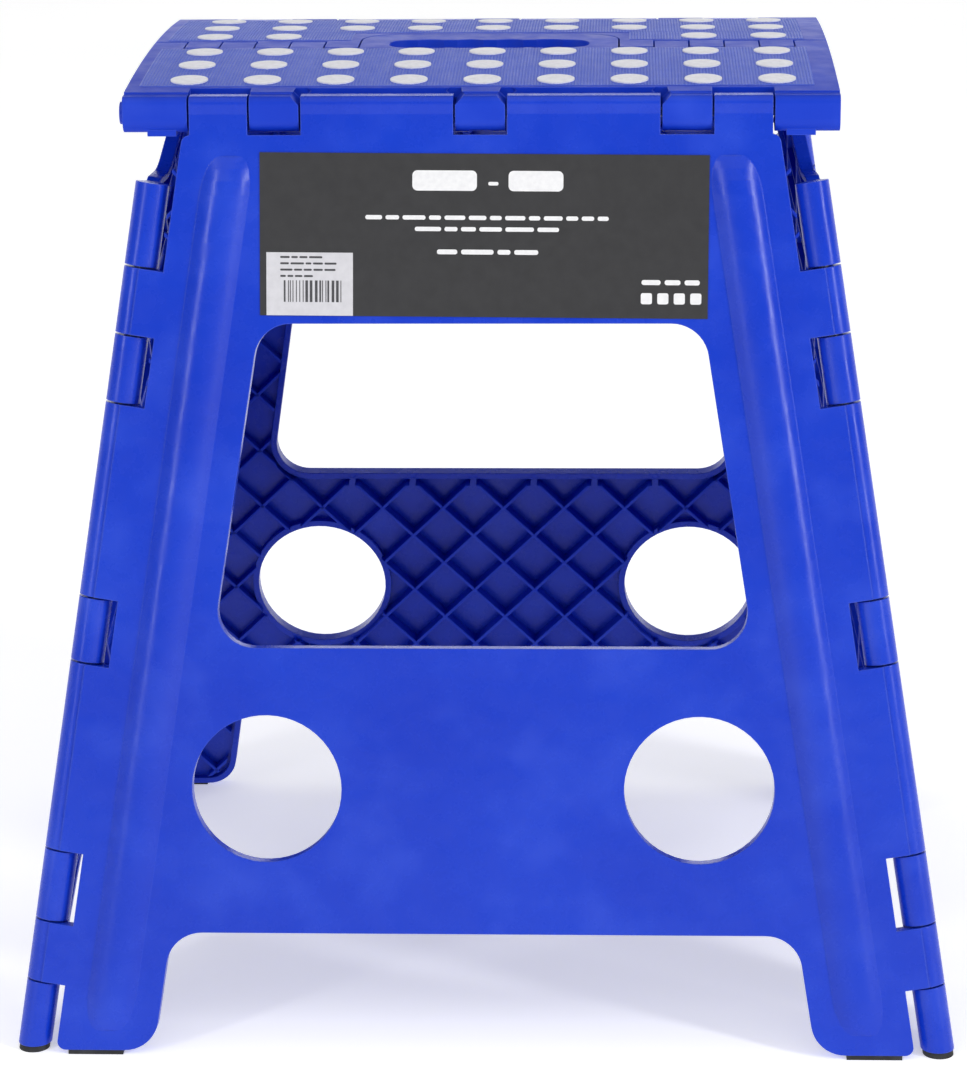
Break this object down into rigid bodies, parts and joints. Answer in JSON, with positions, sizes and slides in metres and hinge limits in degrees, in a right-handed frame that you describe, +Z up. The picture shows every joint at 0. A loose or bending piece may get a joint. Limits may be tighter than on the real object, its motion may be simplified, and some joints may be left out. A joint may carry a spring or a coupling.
{
  "type": "folding step stool",
  "caption": "Folding plastic step stool: two sloping leg panels and inward-folding sides under a hinged top with grip dots and a carrying handle.",
  "frame": {"origin": "on the floor under the middle of the stool", "axes": "+X to the right seen from the labelled front, +Y to the rear, +Z up"},
  "size_m": [0.3842, 0.3192, 0.3907],
  "materials": {
    "blue_plastic": "satin moulded polypropylene",
    "grip_dot": "matte",
    "black_rubber": "matte",
    "label_print": "printed film",
    "sticker": "printed film",
    "rod_steel": "drawn"
  },
  "bodies": {
    "front_leg": {"front_leg_panel": "blue_plastic", "top_front_rod": "blue_plastic", "top_front_rod_cap": "blue_plastic", "left_front_corner_rod": "rod_steel", "right_front_corner_rod": "rod_steel", "left_front_foot_pad": "black_rubber", "right_front_foot_pad": "black_rubber", "front_label": "label_print", "label_sticker": "sticker"},
    "left_front_side": {"left_front_side_panel": "blue_plastic", "left_front_round_foot": "black_rubber", "left_middle_rod": "rod_steel"},
    "left_rear_side": {"left_rear_side_panel": "blue_plastic", "left_rear_round_foot": "black_rubber"},
    "rear_leg": {"rear_leg_panel": "blue_plastic", "left_rear_corner_rod": "rod_steel", "right_rear_corner_rod": "rod_steel", "left_rear_foot_pad": "black_rubber", "right_rear_foot_pad": "black_rubber"},
    "right_front_side": {"right_front_side_panel": "blue_plastic", "right_front_round_foot": "black_rubber", "right_middle_rod": "rod_steel"},
    "right_rear_side": {"right_rear_side_panel": "blue_plastic", "right_rear_round_foot": "black_rubber"},
    "top_front": {"top_front_panel": "blue_plastic", "top_front_grip_dots": "grip_dot", "top_middle_left_rod": "rod_steel", "top_middle_right_rod": "rod_steel"},
    "top_rear": {"top_rear_panel": "blue_plastic", "top_rear_grip_dots": "grip_dot", "top_rear_rod": "blue_plastic", "top_rear_rod_cap": "blue_plastic"}
  },
  "joints": [
    {"name": "left_front_corner", "type": "hinge", "parent": "front_leg", "child": "left_front_side", "pos_m": [-0.15087, -0.11795, 0.22208], "axis": [-0.1527, -0.1474, -0.9772], "range_deg": [0, 83.8]},
    {"name": "left_side_middle", "type": "hinge", "parent": "left_front_side", "child": "left_rear_side", "pos_m": [-0.14727, 0, 0.21268], "axis": [0.1482, 0, 0.989], "range_deg": [0, 165.31]},
    {"name": "right_front_corner", "type": "hinge", "parent": "front_leg", "child": "right_front_side", "pos_m": [0.15087, -0.11795, 0.22208], "axis": [-0.1527, 0.1474, 0.9772], "range_deg": [0, 84]},
    {"name": "right_side_middle", "type": "hinge", "parent": "right_front_side", "child": "right_rear_side", "pos_m": [0.14727, 0, 0.21268], "axis": [0.1482, 0, -0.989], "range_deg": [0, 165.31]},
    {"name": "left_rear_corner", "type": "hinge", "parent": "left_rear_side", "child": "rear_leg", "pos_m": [-0.15087, 0.11795, 0.22208], "axis": [-0.1527, 0.1474, -0.9772], "range_deg": [0, 84]},
    {"name": "top_front_hinge", "type": "hinge", "parent": "front_leg", "child": "top_front", "pos_m": [0, -0.0944, 0.3782], "axis": [1, 0, 0], "range_deg": [0, 77.55]},
    {"name": "top_middle_hinge", "type": "hinge", "parent": "top_front", "child": "top_rear", "pos_m": [0, 0, 0.38216], "axis": [-1, 0, 0], "range_deg": [0, 165.31]}
  ],
  "couplings": [
    {"joint": "right_front_corner", "follows": "left_front_corner", "ratio": 1},
    {"joint": "left_side_middle", "follows": "left_front_corner", "ratio": 1.9703},
    {"joint": "right_side_middle", "follows": "left_front_corner", "ratio": 1.9703},
    {"joint": "left_rear_corner", "follows": "left_front_corner", "ratio": 1},
    {"joint": "top_front_hinge", "follows": "left_front_corner", "ratio": 0.92306},
    {"joint": "top_middle_hinge", "follows": "left_front_corner", "ratio": 1.9703}
  ]
}
